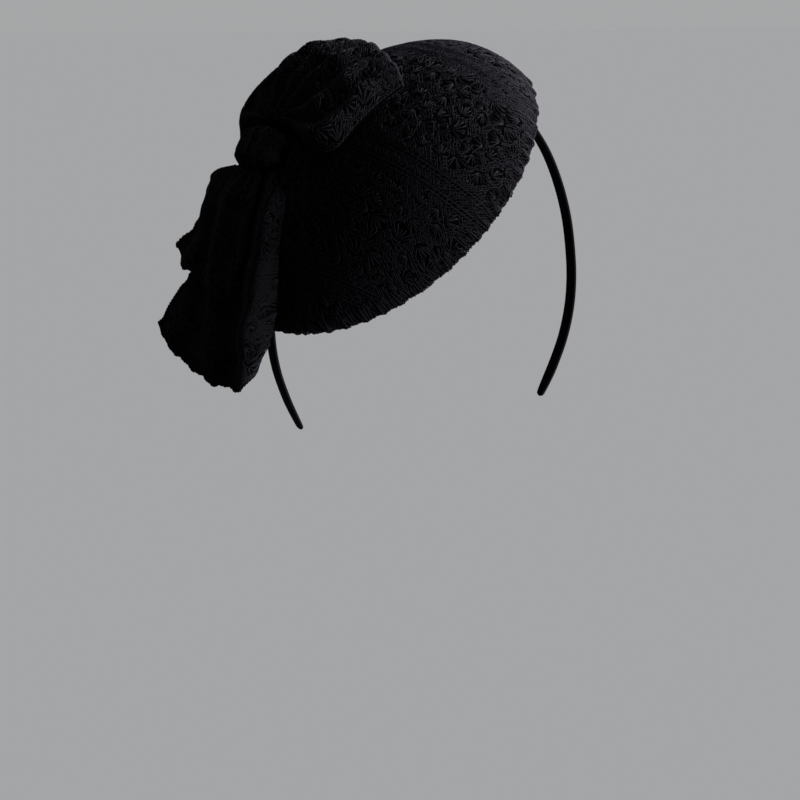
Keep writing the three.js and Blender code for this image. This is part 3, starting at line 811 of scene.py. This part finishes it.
def sheet_shell(name, grid):
    """Thin closed sheet round a grid of points: the grid moved half a thickness to each side along its
    normals, with a wall round its border."""
    rows, columns = grid.shape[:2]
    normal = unit(np.cross(np.gradient(grid, axis=1), np.gradient(grid, axis=0))) * SHEET_HALF
    number = np.arange(rows * columns).reshape(rows, columns)
    border = np.concatenate([number[0, :-1], number[:-1, -1], number[-1, :0:-1], number[:0:-1, 0]])
    after = np.roll(border, -1)
    face = grid_faces(rows, columns, False)
    wall = np.stack([after, border, border + number.size, after + number.size], 1)
    points = np.concatenate([(grid + normal).reshape(-1, 3), (grid - normal).reshape(-1, 3)])
    return put_mesh(name, points, [face, face[:, ::-1] + number.size, wall])


def mix_grid(grid, down, across):
    """Point of a grid at shares down its rows and across its columns, mixed from the four points around it
    and carried straight on past its border."""
    r = down * (grid.shape[0] - 1)
    c = across * (grid.shape[1] - 1)
    i = np.clip(r.astype(int), 0, grid.shape[0] - 2)
    j = np.clip(c.astype(int), 0, grid.shape[1] - 2)
    p, q = (r - i)[..., None], (c - j)[..., None]
    upper = grid[i, j] * (1 - q) + grid[i, j + 1] * q
    return upper * (1 - p) + (grid[i + 1, j] * (1 - q) + grid[i + 1, j + 1] * q) * p


def sheet_face(grid, cut, hand):
    """Function from the flat cloth, with its middle at zero, to one face of a sheet, by hand 1 or -1."""
    normal = unit(np.cross(np.gradient(grid, axis=1), np.gradient(grid, axis=0)))
    face = grid + hand * SHEET_HALF * normal

    def place(across, down):
        return mix_grid(face, down / cut[1] + 0.5, hand * across / cut[0] + 0.5)

    return place


def sheet_lace(cut, first, last, closer):
    """The lace pattern in a cut piece, between two shares of its length, drawn closer and flatter."""
    low, high = (first - 0.5) * cut[1], (last - 0.5) * cut[1]
    kept = []
    for flat, lift, keep in sum(lace_pattern(cut[0] / 2 * closer, cut[1] / 2 * closer), []):
        flat = flat / closer
        within = (np.abs(flat[..., 0]) < cut[0] / 2) & (flat[..., 1] > low) & (flat[..., 1] < high)
        kept.append((flat, lift * SHEET_LIFT_SHARE, keep & within))
    return kept


def edge_loops(start, end):
    """Picot edging along a straight line of the flat cloth: a point circles once a pitch as it moves on."""
    start, end = np.array(start), np.array(end)
    length = np.linalg.norm(end - start)
    turns = int(length / PICOT_PITCH)
    theta = np.linspace(0, 2 * np.pi * turns, turns * LOOP_POINTS + 1)
    along = (end - start) / length
    out = np.array([along[1], -along[0]])
    run = length * theta / theta[-1] - PICOT_LONG * np.sin(theta)
    line = start + run[:, None] * along + (PICOT_WIDE * np.cos(theta))[:, None] * out
    return even(line[None], 0.0)


net_weave = {"Cell scale": 1100, "Patch scale": 90, "Patch detail": 2}
net_finish = {"Roughness": 0.9, "Specular IOR Level": 0.002}
net_cloth = two_tone("net_cloth", (NET_BLACK, NET_GREY), net_finish, cloth_weave, net_weave,
                     ("Patches", "Cell edges"), 0.7, 0.0003)
bow_yarn = yarn_material("bow_yarn", (BOW_BLACK, BOW_WORN))


def dress_sheet(cloth, node, cords):
    """A cut piece of lace: the net cloth that stands for its solid, and its cords."""
    dress(cloth, net_cloth)
    for cord in cords:
        dress(cord, bow_yarn)
    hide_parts(node)


def hang_tail(name, tail):
    """A whole tail: its cloth, the lace outside with picots at the hem and the rear edge, and the lace
    inside from a share of its length to the hem."""
    cut = tail["cut"]
    grid = even_grid(lambda u, v: tail_point(tail, u, v), 0.5, 0.5, 0, TAIL_ROWS, TAIL_COLUMNS)
    cloth = sheet_shell(name + "_cloth", grid)
    wide, long = cut[0] / 2 - PICOT_INSET, cut[1] / 2 - PICOT_INSET
    picots = [edge_loops((-wide, long), (wide, long)), edge_loops((wide, long), (wide, -long))]
    cover = sheet_lace(cut, 0, 1, TAIL_CLOSER) + picots
    lace = lay_cords(name + "_lace", sheet_face(grid, cut, 1), cover, max(cut))
    lining = sheet_lace(cut, tail["lined_from"], 1, TAIL_CLOSER)
    lining = lay_cords(name + "_lining", sheet_face(grid, cut, -1), lining, max(cut))
    dress_sheet(cloth, "bow_" + name, [lace, lining])


hang_tail("long_tail", LONG_TAIL)

# Short tail: a second strip of the lace over the long one, cut shorter and on a steeper slant.
# It is sewn under the knot with the long tail and stands a little off it.
SHORT_TAIL = {
    "roll": 3.9, "ridge": 0.0, "corner": 4.0, "rear_corner": 2.0, "sag": 3.0, "stand_off": 4.9,
    "table": [
        (0.0, -85.5, -2, -35.9, -85.5, 19, -35.2, 0.9),
        (0.20, -91, -8, -47, -87, 36, -39, 1.2),
        (0.50, -97, -11, -62, -88, 45.5, -52, 1.6),
        (0.76, -100.5, -10, -75, -90, 49, -62, 1.8),
        (1.0, -102, -7, -88, -98.5, 53.5, -71.5, 1.6),
    ],
    "cut": (62, 58), "lined_from": 0.5,
}
hang_tail("short_tail", SHORT_TAIL)

# Loop: a strip of the lace folded back on itself into one puffed loop over the top of the cap.
# Both its ends are gathered under the knot, and its upper layer comes down to the lower one at its sides.
# Rows of the profile: share of the strip, distance from the knot, rise, both as shares of the largest.
LOOP_PROFILE = np.array([
    (0, 0, 0), (0.13, 0.26, 0), (0.27, 0.57, 0), (0.39, 0.85, 0.02), (0.47, 0.98, 0.12), (0.54, 1, 0.28),
    (0.62, 0.91, 0.58), (0.73, 0.66, 0.95), (0.85, 0.34, 0.62), (0.94, 0.11, 0.24), (1, 0, 0.24),
])
LOOP_LENGTH = 46.3
LOOP_RISE = 8.7
LOOP_HALF_KNOT = 10
LOOP_HALF_WIDE = 37
LOOP_FAN = 2.4
LOOP_DRIFT = 9
LOOP_DROOP = 40
LOOP_END_ROUND = 0.22
LOOP_END_SLOPE = 0.13
LOOP_END_SOFT = 0.2
LOOP_PUFF_POWER = 2.4
LOOP_LAYER_GAP = 2.6
SEAM_GAP = 1.0
LOOP_FOLDS = 7
LOOP_FOLD_DEPTH = 1.7
LOOP_FOLD_FADE = 0.2
LOOP_FOLD_LEAN = 0.3
LOOP_FOLD_DRIFT = [(1.1, 4, 3, 0)]
LOOP_CLOSE = 0.14
LOOP_CRUMPLES = [(0.9, 9, 7, 0), (1, 11, -5, 1)]
LOOP_FINE_CRUMPLES = [(0.36, 23, 9, 0), (1, -6, 17, 0)]
LOOP_CRUMPLE_WITHIN = 1 / 3
LOOP_SKEW = 0.75
LOOP_END_LEAN = -0.6
LOOP_WIDEST = 0.64
LOOP_CORNER = 0.07
LOOP_UPPER_FROM = 0.40
LOOP_UPPER_TO = 0.56
LOOP_STAND_OFF = 1.25
LOOP_GATHERS = 13
LOOP_GATHER_DEPTH = 0.7
LOOP_ROWS = 150
LOOP_COLUMNS = 96
LOOP_CUT = (100, 116)
LOOP_LACE_FROM = 0.36
LOOP_CLOSER = 1.2
KNOT_FORWARD = -8
KNOT_UP = -20
KNOT_HALF_LONG = 14
KNOT_HALF_ACROSS = 8.5
SEAT_GAP = 0.35


def above_dome(forward, up, rise):
    """Point a distance off the dome's face, along its normal."""
    step = 0.5
    slope_forward = (dome_height(forward + step, up) - dome_height(forward - step, up)) / (2 * step)
    slope_up = (dome_height(forward, up + step) - dome_height(forward, up - step)) / (2 * step)
    normal = unit(np.stack([-slope_forward, -slope_up, 1 + 0 * rise], -1))
    return cap_to_world(np.stack([forward, up, dome_height(forward, up)], -1) + normal * rise[..., None])


def loop_point(u, side):
    """The strip's side profile, fanned out in width from the knot. The upper layer is puffed by a flattened
    arch across its width and comes down on the lower one at its sides. Folds run along it, crossed waves
    crumple it, and finer gathers fade from the knot."""
    along, rise = np.moveaxis(through(LOOP_PROFILE[:, 0], LOOP_PROFILE[:, 1:], u), -1, 0)
    fan = smooth(LOOP_FAN * along)
    half = LOOP_HALF_KNOT + (LOOP_HALF_WIDE - LOOP_HALF_KNOT) * fan
    puff = np.sqrt(np.maximum(1 - np.abs(side) ** LOOP_PUFF_POWER, 0))
    upper = smooth((u - LOOP_UPPER_FROM) / (LOOP_UPPER_TO - LOOP_UPPER_FROM))
    wave = np.cos(LOOP_FOLDS * np.pi * side + waves(LOOP_FOLD_DRIFT, along, side))
    wave = wave * (1 - LOOP_FOLD_FADE * fan)
    gather = LOOP_GATHER_DEPTH * (1 - fan) * np.cos(LOOP_GATHERS * np.pi * side)
    close = smooth((1 - np.abs(side)) / LOOP_CLOSE)
    fold = LOOP_FOLD_DEPTH * (1 + wave) * (1 + LOOP_FOLD_LEAN * side)
    crumple = crossed(LOOP_CRUMPLES, along, side) * smooth(along / LOOP_CRUMPLE_WITHIN)
    crumple = crumple + crossed(LOOP_FINE_CRUMPLES, along, side)
    between = SEAM_GAP + (LOOP_LAYER_GAP - SEAM_GAP + fold + gather + crumple) * close
    lift = LOOP_RISE * rise * puff * (1 - LOOP_SKEW * side) + between * upper
    slope = LOOP_END_SLOPE * (side + np.hypot(side, LOOP_END_SOFT)) / 2
    corner = slope + LOOP_END_ROUND * (1 + LOOP_END_LEAN * side) * side**2 + LOOP_CORNER * side**6
    reach = LOOP_LENGTH * along * (1 - corner * fan)
    droop = LOOP_DROOP * side**2 * fan * (1 - along) ** 2
    forward = KNOT_FORWARD + half * side + LOOP_DRIFT * along
    up = KNOT_UP + KNOT_HALF_ACROSS + 2 * SEAT_GAP + reach - droop
    return above_dome(forward, up, LOOP_STAND_OFF + lift)


loop_points = even_grid(loop_point, LOOP_WIDEST, 0, -1, LOOP_ROWS, LOOP_COLUMNS)
loop_cloth = sheet_shell("loop_cloth", loop_points)
loop_sides = []
for x in (PICOT_INSET - LOOP_CUT[0] / 2, LOOP_CUT[0] / 2 - PICOT_INSET):
    loop_sides.append(edge_loops((x, (LOOP_LACE_FROM - 0.5) * LOOP_CUT[1]), (x, LOOP_CUT[1] / 2)))
loop_cover = sheet_lace(LOOP_CUT, LOOP_LACE_FROM, 1, LOOP_CLOSER) + loop_sides
loop_face = sheet_face(loop_points, LOOP_CUT, -1)
loop_cords = [lay_cords("loop_lace", loop_face, loop_cover, max(LOOP_CUT))]
dress_sheet(loop_cloth, "bow_loop", loop_cords)

# Knot: a short strip of the lace wrapped in pleats over the gathered ends of the loop and tails.
# It is drawn tight and stitched down on the cap.
KNOT_RISE = 11.5
KNOT_DROP = 1.5
KNOT_TRAIL = 2.5
KNOT_SLIM = 0.9
KNOT_END_SHARE = 0.14
KNOT_SQUARENESS = 0.75
KNOT_END_ROUND = (4, 2.4)
KNOT_PLEATS = 3
KNOT_PLEAT_DEPTH = 0.5
KNOT_PLEAT_TWIST = 1.2
KNOT_GATHERS = 5
KNOT_GATHER_DEPTH = 0.8
KNOT_GATHER_DRIFT = [(1.4, 3, 2.2, 0)]
KNOT_STRANDS = 15
STRAND_POINTS = 22
STRAND_REACH = 0.62
STRANDS_BETWEEN = (-0.42, 0.3)
STRAND_WAVE = 0.5
STRAND_RATE = 0.45
STRAND_LIFT = 0.1
KNOT_ROWS = 70
KNOT_COLUMNS = 96
KNOT_CUT = (26, 30)
KNOT_LACE_BETWEEN = (0.01, 0.99)


def knot_point(share, turn):
    """Oval section carried along the knot, smaller at its ends, with its pleats as a wave round it, its
    gathers as a wave along it, and its underside resting on the dome."""
    blunt = np.where(share < 0, KNOT_END_ROUND[0], KNOT_END_ROUND[1])
    full = np.sqrt(np.maximum(1 - np.abs(share) ** blunt, 0))
    size = KNOT_END_SHARE + (1 - KNOT_END_SHARE) * full
    wave = KNOT_PLEAT_DEPTH * np.cos(2 * KNOT_PLEATS * turn + KNOT_PLEAT_TWIST * share)
    gather = np.cos(KNOT_GATHERS * np.pi * share + waves(KNOT_GATHER_DRIFT, share, turn))
    wave = wave + KNOT_GATHER_DEPTH * gather
    pleat = 1 + wave / KNOT_HALF_ACROSS * full
    forward = KNOT_FORWARD + KNOT_HALF_LONG * share - KNOT_TRAIL * np.maximum(-share, 0)
    up = KNOT_UP - KNOT_DROP
    up = up + KNOT_SLIM * KNOT_HALF_ACROSS * size * pleat * power(np.cos(turn), KNOT_SQUARENESS)
    half_rise = KNOT_RISE / 2 * size
    lift = np.where(np.sin(turn) > 0, half_rise * pleat, half_rise - SEAT_GAP)
    return above_dome(forward, up, half_rise + lift * np.sin(turn))


def make_knot():
    """Rings of the knot's section from its rear end to its front end, each end closed by a fan."""
    share = -np.cos(np.linspace(0, np.pi, KNOT_ROWS + 2)[1:-1])[:, None]
    turn = np.linspace(0, 2 * np.pi, KNOT_COLUMNS, endpoint=False)[None]
    rings = knot_point(share + 0 * turn, turn + 0 * share)
    ends = knot_point(np.array([[-1.0, -1.0], [1.0, 1.0]]), np.array([[0, np.pi], [0, np.pi]]))
    return put_rings("knot_cloth", rings, ends.mean(axis=1), False)


def knot_face(across, down):
    """The knot's upper face for a point of its flat strip: across goes round it and down goes along it."""
    return knot_point(np.clip(down / KNOT_CUT[1] * 2, -1, 1), np.pi * (0.5 + across / KNOT_CUT[0]))


def knot_strands():
    """Gathered cords round the knot, side by side, each with a slow wave of its own."""
    across = np.linspace(-STRAND_REACH, STRAND_REACH, STRAND_POINTS)[None] * KNOT_CUT[0]
    down = np.linspace(*STRANDS_BETWEEN, KNOT_STRANDS)[:, None] * KNOT_CUT[1]
    phase = draw.uniform(0, 2 * np.pi, (KNOT_STRANDS, 1))
    down = down + STRAND_WAVE * np.sin(STRAND_RATE * across + phase)
    return even(np.stack([across + 0 * down, down], -1), STRAND_LIFT)


knot_cloth = make_knot()
knot_cover = sheet_lace(KNOT_CUT, *KNOT_LACE_BETWEEN, LOOP_CLOSER) + [knot_strands()]
knot_lace = lay_cords("knot_lace", knot_face, knot_cover, max(KNOT_CUT))
dress(knot_cloth, net_cloth)
dress(knot_lace, bow_yarn)
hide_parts("bow_knot")

# Stage: a pale floor well below, soft light from the upper right and a camera at the photo's angle.
FLOOR_DROP = 2.5
FLOOR_HALF = 300.0
FLOOR_PALE = (0.85, 0.85, 0.86, 1)
STUDIO_LIGHT = 0.45
SKYLINE_SHARE = 0.86
SKYLINE_REACH = 0.3
STUDIO_TINT = (0.98, 0.99, 1, 1)
VIEW_AZIMUTH = np.radians(-33)
VIEW_ELEVATION = np.radians(12)
VIEW_FOCAL_PX = 1800
VIEW_SIZE_PX = 800
VIEW_PX_PER_MM = 2.3
VIEW_TARGET = np.array([0, 0, -0.087])
VIEW_TARGET_PX = (435, 280)
SENSOR = 36
LAMP_BEAM = 60

floor_mesh = bpy.data.meshes.new("floor")
corners = [(-1, -1), (1, -1), (1, 1), (-1, 1)]
corners = [(x * FLOOR_HALF, y * FLOOR_HALF, -FLOOR_DROP) for x, y in corners]
floor_mesh.from_pydata(corners, [], [(0, 1, 2, 3)])
floor = add_object("floor", floor_mesh)
floor_pale, nodes, links, shader = new_material("floor_pale", FLOOR_PALE)
set_inputs(shader, {"Roughness": 1, "Specular IOR Level": 0})
floor.data.materials.append(floor_pale)

back = np.array([
    np.sin(VIEW_AZIMUTH) * np.cos(VIEW_ELEVATION),
    -np.cos(VIEW_AZIMUTH) * np.cos(VIEW_ELEVATION),
    np.sin(VIEW_ELEVATION),
])
right = np.array([np.cos(VIEW_AZIMUTH), np.sin(VIEW_AZIMUTH), 0])
above = np.cross(back, right)
distance = VIEW_FOCAL_PX / VIEW_PX_PER_MM * MM
px = distance / VIEW_FOCAL_PX
shift_right = (VIEW_TARGET_PX[0] - VIEW_SIZE_PX / 2) * px
shift_down = (VIEW_TARGET_PX[1] - VIEW_SIZE_PX / 2) * px
eye = VIEW_TARGET + back * distance - right * shift_right + above * shift_down


def looking(position, backward, sideways):
    """Matrix of a lamp or camera at a place, with its back and its right-hand side given."""
    matrix = np.eye(4)
    matrix[:3, :3] = np.stack([sideways, np.cross(backward, sideways), backward], 1)
    matrix[:3, 3] = position
    return Matrix(matrix.tolist())


lens = bpy.data.cameras.new("camera")
lens.sensor_width = SENSOR
lens.lens = VIEW_FOCAL_PX / VIEW_SIZE_PX * SENSOR
camera = add_object("camera", lens)
camera.matrix_world = looking(eye, back, right)
bpy.context.scene.camera = camera


def add_lamp(name, direction, far, size, watts):
    """Square lamp at a distance in metres from the middle of the object, in a direction given as shares of
    the view's right, up and back."""
    towards = unit(direction[0] * right + direction[1] * above + direction[2] * back)
    lamp = bpy.data.lights.new(name, "AREA")
    lamp.size = size
    lamp.energy = watts
    lamp.spread = np.radians(LAMP_BEAM)
    sideways = unit(np.cross([0, 0, 1], towards))
    add_object(name, lamp).matrix_world = looking(VIEW_TARGET + towards * far, towards, sideways)


add_lamp("key", (0.80, 0.58, 0.10), far=1.1, size=0.5, watts=19)
add_lamp("side_fill", (0.85, -0.2, 0.48), far=1.6, size=0.8, watts=21)
add_lamp("top_fill", (-0.15, 0.85, 0.5), far=1.3, size=0.6, watts=0.8)
world = bpy.data.worlds.new("studio")
bpy.context.scene.world = world
world.use_nodes = True
nodes, links = world.node_tree.nodes, world.node_tree.links
sky = nodes["Background"]
set_inputs(sky, {"Color": STUDIO_TINT})
facing = nodes.new("ShaderNodeTexCoord")
height = nodes.new("ShaderNodeSeparateXYZ")
links.new(facing.outputs["Generated"], height.inputs["Vector"])
glow = nodes.new("ShaderNodeMapRange")
glow_share = STUDIO_LIGHT * SKYLINE_SHARE
set_inputs(glow, {"From Max": SKYLINE_REACH, "To Min": glow_share, "To Max": STUDIO_LIGHT})
links.new(height.outputs["Z"], glow.inputs["Value"])
links.new(glow.outputs["Result"], sky.inputs["Strength"])
bpy.context.scene.view_settings.view_transform = "Standard"
